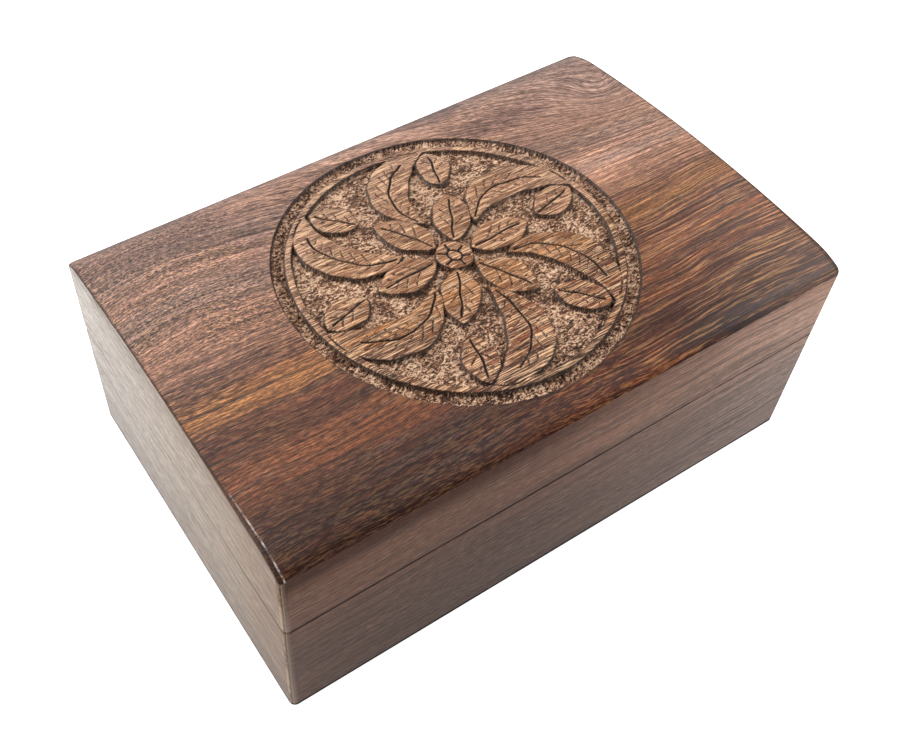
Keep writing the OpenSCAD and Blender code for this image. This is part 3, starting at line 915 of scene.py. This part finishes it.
@dataclass
class Walls:
    """Four mitred boards round a hollow, sawn from one block whose rim faces up while it is built."""

    body: Body
    far_z: float
    rim_z: float
    foot_r: float = 0.0
    rebate_t: float = 0.0
    rebate_w: float = 4.0
    length: float = LENGTH
    width: float = WIDTH
    wall: float = 10.0
    corner_r: float = CORNER_R
    ease_out: float = 0.22
    ease_in: float = 0.4
    axis_y: float = 48.0
    axis_rise: float = 0.15
    bevel_angle: float = 53.5
    hinge_x: float = 45.2
    seat_l: float = 25.6
    seat_y: float = 40.9
    seat_t: float = 0.9
    groove_r: float = 2.2

    @property
    def height(self) -> float:
        """Height of the boards."""
        return abs(self.rim_z - self.far_z)

    def block(self) -> Mesh:
        """Makes the block with its rounded corners and foot, the rim at the top."""
        bm = cuboid(self.length, self.width, self.height)
        upright = [e for e in bm.edges if abs(e.verts[0].co.z - e.verts[1].co.z) > 1]
        bevel(bm, upright, self.corner_r, 8)
        if self.foot_r:
            bevel(bm, [e for e in bm.edges if max(v.co.z for v in e.verts) < 0.01], self.foot_r, 6)
        return bm

    def hollow(self, bm: Mesh) -> None:
        """Opens the hollow from the far side to the rim, with the rebate of the bottom board."""
        half_x, half_y = self.length / 2 - self.wall, self.width / 2 - self.wall
        if self.rebate_t:
            for sign in (-1, 1):
                floor = [f for f in bm.faces if f.calc_center_median().z < 0.01]
                score(bm, floor, (sign * (half_x + self.rebate_w), 0, 0), (1, 0, 0))
                floor = [f for f in bm.faces if f.calc_center_median().z < 0.01]
                score(bm, floor, (0, sign * (half_y + self.rebate_w), 0), (0, 1, 0))
            floor = [f for f in bm.faces if f.calc_center_median().z < 0.01]
            pocket = [f for f in floor if self.over_hollow(f.calc_center_median(), self.rebate_w)]
            bmesh.ops.translate(bm, vec=(0, 0, self.rebate_t), verts=sink(bm, pocket))
            bm.normal_update()
        for sign in (-1, 1):
            for point, normal in (((sign * half_x, 0, 0), (1, 0, 0)), ((0, sign * half_y, 0), (0, 1, 0))):
                top = self.height - 0.01
                level = [f for f in bm.faces if abs(f.normal.z) > 0.99 or f.calc_center_median().z > top]
                score(bm, level, point, normal)
        over = [f for f in bm.faces if self.over_hollow(f.calc_center_median(), 0.0)]
        mouths = [f for f in over if abs(f.normal.z) > 0.99]
        loops = [e for f in mouths for e in f.edges]
        bmesh.ops.delete(bm, geom=mouths, context="FACES_ONLY")
        bmesh.ops.bridge_loops(bm, edges=[e for e in loops if e.is_valid])

    def over_hollow(self, point: Vector, margin: float) -> bool:
        """Tells whether a point lies over the hollow or within a margin round it."""
        half_x = self.length / 2 - self.wall + margin
        half_y = self.width / 2 - self.wall + margin
        return abs(point.x) < half_x and abs(point.y) < half_y

    def ease_rim(self, bm: Mesh) -> None:
        """Takes the sharp edges off the rim, inside and out."""
        bm.normal_update()
        high = [e for e in bm.edges if min(v.co.z for v in e.verts) > self.height - 0.01]
        rim = [e for e in high if len(e.link_faces) == 2 and e.calc_face_angle(0) > 1]
        outer = [e for e in rim if not self.on_inner_edge(e)]
        inner = [e for e in rim if self.on_inner_edge(e)]
        bevel(bm, inner, self.ease_in, 3)
        bevel(bm, [e for e in outer if e.is_valid], self.ease_out, 2)

    def on_inner_edge(self, edge: Edge) -> bool:
        """Tells whether an edge runs round the hollow."""
        return self.over_hollow((edge.verts[0].co + edge.verts[1].co) / 2, 0.1)

    def seat_floor(self, y: float) -> float:
        """Gives the height of a hinge seat's floor: flat under the leaf, round under the knuckles."""
        flat = self.height - self.seat_t
        reach = self.groove_r**2 - (y - self.axis_y) ** 2
        return flat if reach <= 0 else min(flat, self.height + self.axis_rise - math.sqrt(reach))

    def cut_seats(self, bm: Mesh) -> None:
        """Sinks the seats of both hinges into the back board's rim and bevel."""
        slope = math.tan(math.radians(self.bevel_angle))
        last = self.axis_y + self.groove_r * math.cos(math.radians(self.bevel_angle))
        start = self.axis_y - math.sqrt(self.groove_r**2 - (self.axis_rise + self.seat_t) ** 2)
        steps = [self.seat_y, *(start + (last - start) * i / 10 for i in range(11))]

        def mouth(low: float, high: float, centre_x: float) -> list[Face]:
            """Finds the faces of the rim and the bevel over one seat."""
            found = []
            for face in bm.faces:
                middle = face.calc_center_median()
                surface = self.height
                if middle.y >= self.axis_y + self.axis_rise / slope:
                    surface = self.height + self.axis_rise - slope * (middle.y - self.axis_y)
                beside = low < middle.y < high and abs(middle.x - centre_x) < self.seat_l / 2
                if beside and abs(middle.z - surface) < 0.02:
                    found.append(face)
            return found

        for side in (-1, 1):
            centre = side * self.hinge_x
            for end in (-1, 1):
                level = [f for f in bm.faces if f.normal.z > 0.4]
                score(bm, level, (centre + end * self.seat_l / 2, 0, 0), (1, 0, 0))
            for y in steps:
                score(bm, mouth(self.axis_y - self.wall, self.width / 2, centre), (0, y, 0), (0, 1, 0))
            opened = mouth(self.seat_y, last, centre)
            for vert in sink(bm, opened):
                vert.co.z = min(vert.co.z, self.seat_floor(vert.co.y))
            bm.normal_update()

    def boards(self) -> dict[str, Mesh]:
        """Saws the frame into its four boards.

        Returns:
            The boards' meshes by the side they stand on, in place.
        """
        whole = self.block()
        self.hollow(whole)
        self.ease_rim(whole)
        slope = math.tan(math.radians(self.bevel_angle))
        saw(whole, (0, self.axis_y, self.height + self.axis_rise), (0, slope, 1))
        x, y = self.length / 2 - self.wall, self.width / 2 - self.wall
        cuts = {
            "front": (((-x, -y, 0), (-1, 1, 0)), ((x, -y, 0), (1, 1, 0))),
            "back": (((-x, y, 0), (-1, -1, 0)), ((x, y, 0), (1, -1, 0))),
            "left": (((-x, -y, 0), (1, -1, 0)), ((-x, y, 0), (1, 1, 0))),
            "right": (((x, -y, 0), (-1, -1, 0)), ((x, y, 0), (-1, 1, 0))),
        }
        boards = {}
        for side, planes in cuts.items():
            board = whole.copy()
            for point, outward in planes:
                saw(board, point, outward)
            board.normal_update()
            if side == "back":
                self.cut_seats(board)
            up = 1 if self.rim_z > self.far_z else -1
            bmesh.ops.scale(board, vec=(1, 1, up), verts=board.verts)
            bmesh.ops.translate(board, vec=(0, 0, self.far_z), verts=board.verts)
            boards[side] = board
        whole.free()
        return boards

    def build(self) -> None:
        """Makes the four boards as pieces of the object."""
        for side, board in self.boards().items():
            finish = FRONT_WOOD if side in ("front", "back") else END_WOOD
            node = f"{self.body.value}_{side}"
            finish_piece(board, f"{node}_board", self.body, finish, [node])


@dataclass
class Carving:
    """A round rosette of leaves in low relief inside a raised ring and a sunk, ticked band.

    A bud or petal has a length and a width, and a frond a length, the rise of its inner edge and a width.
    """

    radius: float = 43.0
    band_w: float = 3.4
    ring_w: float = 1.6
    depth: float = 1.4
    count: int = 6
    wall: float = 0.3
    knife_w: float = 0.42
    knife_d: float = 0.62
    bud_at: float = 24.6
    bud: tuple[float, float] = (13.0, 8.4)
    frond_at: float = 12.0
    frond: Triple = (27.4, 4.0, 10.2)
    petal_at: float = 4.7
    petal: tuple[float, float] = (16.4, 9.2)
    boss_r: float = 4.4
    far: float = 9.0

    @staticmethod
    def turned(x: Array, y: Array, radius: float, angle: float, tilt: float) -> Pair:
        """Carries points into a leaf's own place, its foot at the origin and its tip along x."""
        a, b = math.radians(angle), math.radians(tilt)
        u, v = x * math.cos(a) + y * math.sin(a) - radius, -x * math.sin(a) + y * math.cos(a)
        return u * math.cos(b) + v * math.sin(b), -u * math.sin(b) + v * math.cos(b)

    def veins(self, along: Array, off: Array, length: float, width: float) -> Array:
        """Gives the distance to a leaf's midrib and to its slanting side veins.

        Args:
            along: Distance along the midrib.
            off: Distance from the midrib, signed.
            length: Length of the leaf.
            width: Full width of the leaf.

        Returns:
            The distance to the nearest vein.
        """
        rib = np.hypot(np.maximum(np.abs(along - 0.47 * length) - 0.4 * length, 0), off)
        slant = along - 1.15 * np.abs(off)
        pitch = 3.1
        side = np.abs((slant / pitch) % 1 - 0.5) * pitch * 0.66 + 0.12
        reach = 0.5 * width * np.clip(np.sin(np.clip(along / length, 0, 1) * math.pi), 0, 1) ** 0.8
        beside = (np.abs(off) < 0.66 * reach) & (np.abs(off) > 0.5)
        between = (slant > 0.12 * length) & (along < 0.86 * length)
        side = np.where(beside & between, side, self.far)
        return np.minimum(rib, side)

    def straight_leaf(self, x: Array, y: Array, length: float, width: float) -> Pair:
        """Gives the signed distance to a leaf between two equal arcs, and to its veins."""
        r = (length**2 + width**2) / (4 * width)
        off = r - width / 2
        outline = np.maximum(np.hypot(x - length / 2, y - off), np.hypot(x - length / 2, y + off)) - r
        return outline, self.veins(x, y, length, width)

    def bent_leaf(self, x: Array, y: Array, length: float, bulge: float, width: float) -> Pair:
        """Gives the signed distance to a leaf between two arcs that bend the same way, and to its veins."""
        half = length / 2

        def from_arc(rise: float) -> Pair:
            """Measures the distance outside the arc with that rise, and the run along it."""
            r = (half**2 + rise**2) / (2 * rise)
            dx, dy = x - half, y - (rise - r)
            run = r * (math.asin(min(half / r, 1.0)) + np.arctan2(dx, dy))
            return np.hypot(dx, dy) - r, run

        outer, _ = from_arc(bulge + width)
        inner, _ = from_arc(bulge)
        middle, run = from_arc(bulge + 0.48 * width)
        return np.maximum(outer, -inner), self.veins(run, middle, 1.12 * length, width)

    def field(self, x: Array, y: Array) -> Pair:
        """Lays the leaves over each other, from the rim's buds up to the boss.

        Args:
            x: Places across the disc.
            y: Places across the disc.

        Returns:
            The signed distance to everything raised, and the distance to the nearest knife line that shows.
        """
        raised, line = np.full_like(x, self.far), np.full_like(x, self.far)
        step = 360 / self.count
        forms = []
        for k in range(self.count):
            forms.append(self.straight_leaf(*self.turned(x, y, self.bud_at, k * step + 2, 12), *self.bud))
        for k in range(self.count):
            own = self.turned(x, y, self.frond_at, (k + 0.5) * step, -33)
            forms.append(self.bent_leaf(*own, *self.frond))
        for k in range(self.count):
            forms.append(self.straight_leaf(*self.turned(x, y, self.petal_at, k * step, 0), *self.petal))
        centre = np.hypot(x, y)
        petals = np.abs((np.degrees(np.arctan2(y, x)) / 60) % 1 - 0.5) * 60 * np.radians(1) * centre
        boss = np.minimum(np.abs(centre - 1.7), np.where(centre > 1.7, petals, self.far))
        forms.append((centre - self.boss_r, boss))
        for outline, veins in forms:
            inside = outline < 0
            own = np.minimum(np.abs(outline), np.where(outline < -0.5, veins, self.far))
            line = np.where(inside, own, np.minimum(line, np.abs(outline)))
            raised = np.minimum(raised, outline)
        rim = self.radius - self.band_w
        ring = np.maximum(centre - rim, rim - self.ring_w - centre)
        raised = np.minimum(np.minimum(raised, ring), self.radius - centre)
        return raised, line

    def strayed(self, x: Array, y: Array) -> Pair:
        """Moves places by the small waver of a hand-held knife, which dies out at the disc's rim."""
        calm = np.clip((self.radius - 3 - np.hypot(x, y)) / 6, 0, 1)
        dx = 0.3 * np.sin(0.31 * y + 1.3) + 0.18 * np.sin(0.83 * x + 0.57 * y)
        dy = 0.3 * np.sin(0.27 * x + 0.4) + 0.18 * np.sin(0.71 * y - 0.63 * x + 2.0)
        return x + calm * dx, y + calm * dy

    def measured(self, x: Array, y: Array) -> Pair:
        """Measures the field at places that follow the knife's waver."""
        return self.field(*self.strayed(x, y))

    def snapped(self, x: Array, y: Array, pitch: float) -> Pair:
        """Pulls grid points onto the nearest outline or knife line, so that it is cut clean.

        Args:
            x: Places of the grid points.
            y: Places of the grid points.
            pitch: Spacing of the grid.

        Returns:
            The new places.
        """
        small = 0.02
        raised, line = self.measured(x, y)
        for choose in (0, 1):
            value = (raised, line)[choose]
            right, left = self.measured(x + small, y)[choose], self.measured(x - small, y)[choose]
            up, down = self.measured(x, y + small)[choose], self.measured(x, y - small)[choose]
            gx, gy = (right - left) / (2 * small), (up - down) / (2 * small)
            size = np.maximum(np.hypot(gx, gy), 0.5)
            near = np.abs(value) < 0.5 * pitch
            if choose:
                near &= (np.abs(raised) > 0.5 * pitch) & (raised < 0)
            shift = np.where(near, -value / size, 0.0)
            x, y = x + shift * gx / size, y + shift * gy / size
        return x, y

    def cut(self, x: Array, y: Array) -> tuple[Array, Array, Array]:
        """Works out how deep the carver went.

        Args:
            x: Places across the disc.
            y: Places across the disc.

        Returns:
            The depth, how much each place belongs to the sunk ground, and how much painted shade it takes in
            a knife cut, on a wall or at a wall's foot.
        """
        raised, line = self.measured(x, y)
        centre = np.hypot(x, y)
        disc = centre < self.radius + 1
        sunk = np.where(disc, np.clip((raised - 0.02) / self.wall, 0, 1), 0.0)
        on_top = np.clip((-raised - 0.1) / 0.5, 0, 1)
        knife = np.clip(1 - line / self.knife_w, 0, 1) * on_top * disc
        edge = np.clip(1 + raised / 0.7, 0, 1) * disc * (centre < self.radius - 0.1)
        marks = np.zeros_like(x)
        for i in np.flatnonzero(sunk > 0):
            at = Vector((x[i], y[i], 0.0))
            marks[i] = 0.3 * solid_noise.noise(at * 1.15) + 0.16 * solid_noise.noise(at * 2.4)
        turn = np.arctan2(y, x)
        phase = turn * 238 + 2.2 * np.sin(turn * 31) + 1.6 * np.sin(turn * 57 + 1)
        ticks = 0.22 * np.sin(phase) * (centre > self.radius - self.band_w)
        rim = 0.5 * np.clip(1 - (self.radius - centre) / 1.8, 0, 1)
        ground = self.depth + np.clip(marks, -0.5, 0.5) + ticks - 0.12 - rim
        raised_depth = self.knife_d * knife + 0.12 * edge**2
        depth = sunk * np.clip(ground, 0.5, self.depth + 0.45) + (1 - sunk) * raised_depth
        # Painted shade, carried by the cut attribute: the walls and the ground at their feet darken along
        # with the knife cuts.
        wall = np.clip(1 - np.abs(raised - 0.15) / 0.4, 0, 1) * disc
        foot = np.clip(1 - raised / 1.1, 0, 1) * (raised > 0) * disc
        return depth, sunk, np.clip(np.maximum(knife, np.maximum(0.8 * wall, 0.35 * foot)), 0, 1)


@dataclass
class TopBoard:
    """The lid's crowned top board, which carries the carving."""

    length: float = LENGTH
    width: float = WIDTH
    crown_z: float = 63.5
    crown_r: float = 413.0
    shoulder_w: float = 9.0
    shoulder_r: float = 24.0
    arris_r: float = 0.8
    under_z: float = 58.257
    corner_r: float = CORNER_R
    fine_half: float = 43.6
    fine_cells: int = 280
    carving: Carving = field(default_factory=Carving)

    def shoulder_centre(self) -> tuple[float, float]:
        """Gives the centre of the shoulder's round, across and up."""
        tangent = self.width / 2 - self.shoulder_w
        angle = math.asin(tangent / self.crown_r)
        middle = self.crown_z - self.crown_r
        across = tangent - self.shoulder_r * math.sin(angle)
        return across, middle + (self.crown_r - self.shoulder_r) * math.cos(angle)

    def profile(self, y: Array) -> Array:
        """Gives the crown's height at a distance from the board's middle line."""
        across, up = self.shoulder_centre()
        away = np.abs(y)
        crown = self.crown_z - self.crown_r + np.sqrt(self.crown_r**2 - np.minimum(away, self.width / 2) ** 2)
        shoulder = up + np.sqrt(np.maximum(self.shoulder_r**2 - (away - across) ** 2, 0))
        arris_y = self.width / 2 - self.arris_r
        arris_z = up + math.sqrt((self.shoulder_r - self.arris_r) ** 2 - (arris_y - across) ** 2)
        angle = math.atan2(arris_z - up, arris_y - across)
        arris = arris_z + np.sqrt(np.maximum(self.arris_r**2 - (away - arris_y) ** 2, 0))
        top = np.where(away < self.width / 2 - self.shoulder_w, crown, shoulder)
        return np.where(away > arris_y + self.arris_r * math.cos(angle), arris, top)

    def lines_along(self) -> list[float]:
        """Lists the mesh's places along the length, from the middle to the right end."""
        fine = [self.fine_half * i / (self.fine_cells // 2) for i in range(self.fine_cells // 2 + 1)]
        start = self.length / 2 - self.corner_r
        corner = [start + self.corner_r * math.sin(math.radians(i * 9)) for i in range(11)]
        return fine + [52.0, 62.0, 69.0, 72.5] + corner

    def lines_across(self) -> list[float]:
        """Lists the mesh's places across the width, from the middle to the back."""
        fine = [self.fine_half * i / (self.fine_cells // 2) for i in range(self.fine_cells // 2 + 1)]
        shoulder = [44.4, 45.2, 45.9, 46.6, 47.2, 47.8, 48.4, 48.8, 49.2, 49.5]
        arris_y = self.width / 2 - self.arris_r
        turns = (28, 40, 51, 62, 73, 82, 88.6)
        return fine + shoulder + [arris_y + self.arris_r * math.sin(math.radians(a)) for a in turns]

    def blank(self) -> Mesh:
        """Makes the board as an even grid with a skirt and an underside, closed all round."""
        along, across = len(self.lines_along()) - 1, len(self.lines_across()) - 1
        bm = bmesh.new()
        bmesh.ops.create_grid(bm, x_segments=2 * along, y_segments=2 * across, size=1.0)
        for face in bm.faces:
            face.smooth = True
        rim = [e for e in bm.edges if e.is_boundary]
        skirt = bmesh.ops.extrude_edge_only(bm, edges=rim)["geom"]
        bmesh.ops.translate(bm, vec=(0, 0, -1), verts=[v for v in skirt if isinstance(v, Vert)])
        border = [e for e in skirt if isinstance(e, Edge) and e.is_boundary]
        bmesh.ops.edgeloop_fill(bm, edges=border)
        return bm

    def end_round(self, x: Array, y: Array) -> Array:
        """Gives how far the eased edges of both ends drop, more so towards the front left corner."""
        worn = 0.35 + 0.6 * np.clip((-y - 8) / 26, 0, 1) * (x < 0)
        into = np.clip(np.abs(x) - (self.length / 2 - worn), 0, worn)
        return worn - np.sqrt(worn**2 - into**2)

    def build(self) -> None:
        """Shapes the blank: crown, carving, eased ends and rounded corners."""
        bm = self.blank()
        along, across = np.array(self.lines_along()), np.array(self.lines_across())
        count_x, count_y = len(along) - 1, len(across) - 1
        flat = np.array([v.co[:] for v in bm.verts])
        column = np.rint(flat[:, 0] * count_x).astype(int)
        row = np.rint(flat[:, 1] * count_y).astype(int)
        x, y = np.sign(column) * along[np.abs(column)], np.sign(row) * across[np.abs(row)]
        top = flat[:, 2] > -0.5
        pitch = 2 * self.fine_half / self.fine_cells
        fine = top & (np.hypot(x, y) < self.carving.radius + pitch)
        x[fine], y[fine] = self.carving.snapped(x[fine], y[fine], pitch)
        z = self.profile(y) - self.end_round(x, y)
        depth, sunk, cut = (np.zeros(len(x)) for _ in range(3))
        depth[fine], sunk[fine], cut[fine] = self.carving.cut(x[fine], y[fine])
        z = np.where(top, z - depth, self.under_z)
        over_x = np.clip(np.abs(x) - (self.length / 2 - self.corner_r), 0, None) / self.corner_r
        over_y = np.clip(np.abs(y) - (self.width / 2 - self.corner_r), 0, None) / self.corner_r
        pulled_x = self.corner_r * over_x * (1 - np.sqrt(1 - over_y**2 / 2))
        pulled_y = self.corner_r * over_y * (1 - np.sqrt(1 - over_x**2 / 2))
        x, y = x - np.sign(x) * pulled_x, y - np.sign(y) * pulled_y
        for vert, place in zip(bm.verts, np.stack([x, y, z], 1)):
            vert.co = place
        # The cut attribute holds the painted shade of the cuts, the walls and their feet.
        marks = {"sunk": sunk, "cut": cut}
        for name, values in marks.items():
            layer = bm.verts.layers.float.new(name)
            for vert, value in zip(bm.verts, values):
                vert[layer] = value
        piece = finish_piece(bm, "lid_top_board", Body.LID, TOP_WOOD, ["lid_top"])
        piece.data.set_sharp_from_angle(angle=math.radians(38))


@dataclass
class BottomBoard:
    """The loose bottom board in its rebate."""

    length: float = 140.2
    width: float = 87.8
    thickness: float = 4.0
    ease: float = 0.3

    def build(self) -> None:
        """Makes the board with its edges eased."""
        bm = cuboid(self.length, self.width, self.thickness)
        bevel(bm, bm.edges[:], self.ease, 2)
        finish_piece(bm, "base_bottom_board", Body.BASE, BOTTOM_WOOD, ["base_bottom"])


@dataclass
class Lining:
    """A sheet of felt that is glued to a board."""

    node: str
    body: Body
    board: str
    low_z: float
    nap_up: bool
    length: float = 131.8
    width: float = 79.4
    thickness: float = 1.0

    def build(self) -> None:
        """Makes the sheet with a slightly uneven nap and soft edges."""
        bm = bmesh.new()
        bmesh.ops.create_grid(bm, x_segments=110, y_segments=66, size=0.5)
        for face in bm.faces:
            face.smooth = True
        bmesh.ops.scale(bm, vec=(self.length, self.width, 1), verts=bm.verts)
        for vert in bm.verts:
            x, y = vert.co.x, vert.co.y
            edge = min(self.length / 2 - abs(x), self.width / 2 - abs(y))
            soft = 0.45 * max(0.0, 1 - edge / 0.9) ** 2
            broad = 0.1 * solid_noise.noise(Vector((x, y, 5)) * 0.08)
            small = 0.06 * solid_noise.noise(Vector((x, y, 9)) * 0.5)
            vert.co.z = self.thickness - 0.14 - soft + (broad + small)
        skirt = bmesh.ops.extrude_edge_only(bm, edges=[e for e in bm.edges if e.is_boundary])["geom"]
        for vert in (v for v in skirt if isinstance(v, Vert)):
            vert.co.z = 0.02
        border = [e for e in skirt if isinstance(e, Edge) and e.is_boundary]
        bmesh.ops.edgeloop_fill(bm, edges=border)
        if not self.nap_up:
            bmesh.ops.scale(bm, vec=(1, 1, -1), verts=bm.verts)
            bmesh.ops.translate(bm, vec=(0, 0, self.thickness), verts=bm.verts)
        bmesh.ops.translate(bm, vec=(0, 0, self.low_z), verts=bm.verts)
        piece = finish_piece(bm, f"{self.node}_felt", self.body, FELT, [self.node])


@dataclass
class Hinges:
    """Both butt hinges with their pins and screws, kept as they were drawn and dressed in brass."""

    parts: str = "hinge_"

    def dress(self) -> None:
        """Gives each part its brass."""
        for name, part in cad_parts.items():
            if not name.startswith(self.parts):
                continue
            finish = SCREW_BRASS if "screws" in name else HINGE_BRASS
            part.data.materials.clear()
            part.data.materials.append(material_of(finish))
            logger.info("%s: dressed in %s", name, finish.name)


@dataclass
class Studio:
    """The pale floor, the lamps and the camera."""

    floor_half: float = 3.0
    camera_at: Triple = (-119.40, -145.33, 251.91)
    camera_turn: Triple = (39.348, -0.367, -32.748)
    focal: float = 45.60
    shift: tuple[float, float] = (0.0927, -0.0155)

    def floor(self) -> None:
        """Lays the floor, white to the camera and pale to everything else."""
        bm = bmesh.new()
        bmesh.ops.create_grid(bm, x_segments=1, y_segments=1, size=self.floor_half)
        mesh = bpy.data.meshes.new("floor")
        bm.to_mesh(mesh)
        bm.free()
        floor = bpy.data.objects.new("floor", mesh)
        bpy.context.scene.collection.objects.link(floor)
        graph = Graph("floor")
        path = graph.add("LightPath", {}).outputs
        seen = graph.larger(path["Is Camera Ray"], path["Is Glossy Ray"])
        plain = graph.add("BsdfDiffuse", {"Color": (0.8, 0.8, 0.8, 1)})
        glow = graph.add("Emission", {"Color": (1, 1, 1, 1), "Strength": 0.78})
        lit = graph.add("AddShader", {0: plain.outputs[0], 1: glow.outputs[0]})
        shader = graph.add("MixShader", {0: seen, 1: plain.outputs[0], 2: lit.outputs[0]})
        mesh.materials.append(graph.finish(shader))

    def world(self) -> None:
        """Sets a pale world that the camera sees as white."""
        world = bpy.data.worlds.new("studio")
        bpy.context.scene.world = world
        world.use_nodes = True
        tree = world.node_tree
        tree.nodes.clear()
        path = tree.nodes.new("ShaderNodeLightPath")
        seen = tree.nodes.new("ShaderNodeMath")
        seen.operation = "MULTIPLY_ADD"
        seen.inputs[1].default_value, seen.inputs[2].default_value = 0.7, 0.3
        tree.links.new(path.outputs["Is Camera Ray"], seen.inputs[0])
        background = tree.nodes.new("ShaderNodeBackground")
        background.inputs["Color"].default_value = (1, 1, 1, 1)
        tree.links.new(seen.outputs[0], background.inputs["Strength"])
        output = tree.nodes.new("ShaderNodeOutputWorld")
        tree.links.new(background.outputs[0], output.inputs["Surface"])

    def lamp(self, name: str, at: Triple, size: float, power: float) -> None:
        """Hangs a soft square lamp that faces the box.

        Args:
            name: Name of the lamp.
            at: Its place in metres.
            size: Its width in metres.
            power: Its power in watts.
        """
        light = bpy.data.lights.new(name, "AREA")
        light.shape, light.size, light.energy = "SQUARE", size, power
        lamp = bpy.data.objects.new(name, light)
        bpy.context.scene.collection.objects.link(lamp)
        lamp.visible_camera = False
        lamp.location = at
        lamp.rotation_euler = (Vector((0, 0, 0.03)) - Vector(at)).to_track_quat("-Z", "Y").to_euler()

    def camera(self) -> None:
        """Stands the camera where the photograph was taken from."""
        lens = bpy.data.cameras.new("camera")
        lens.sensor_width, lens.lens = 36, self.focal
        lens.shift_x, lens.shift_y = self.shift
        lens.clip_start = 0.01
        camera = bpy.data.objects.new("camera", lens)
        bpy.context.scene.collection.objects.link(camera)
        camera.location = [c * MM for c in self.camera_at]
        camera.rotation_euler = [math.radians(a) for a in self.camera_turn]
        bpy.context.scene.camera = camera

    def build(self) -> None:
        """Sets up everything round the box."""
        bpy.context.scene.view_settings.view_transform = "Standard"
        self.camera()
        self.floor()
        self.world()
        self.lamp("back_light", (-0.15, 0.55, 0.75), 0.7, 5.5)
        self.lamp("left_light", (-0.32, 0.3, 0.15), 0.3, 2.2)
        self.lamp("right_light", (0.27, -0.2, 0.25), 0.2, 0.8)


def main() -> None:
    """Builds the box, dresses it and sets up the studio."""
    logging.basicConfig(level=logging.INFO, format="%(message)s")
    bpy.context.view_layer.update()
    Studio().build()
    Walls(Body.BASE, far_z=0.0, rim_z=37.25, foot_r=1.4, rebate_t=4.0).build()
    Walls(Body.LID, far_z=58.257, rim_z=37.55).build()
    TopBoard().build()
    BottomBoard().build()
    Lining("base_lining", Body.BASE, "base_bottom_board", 4.0, True).build()
    Lining("lid_lining", Body.LID, "lid_top_board", 57.257, False).build()
    Hinges().dress()


if __name__ == "__main__":
    main()
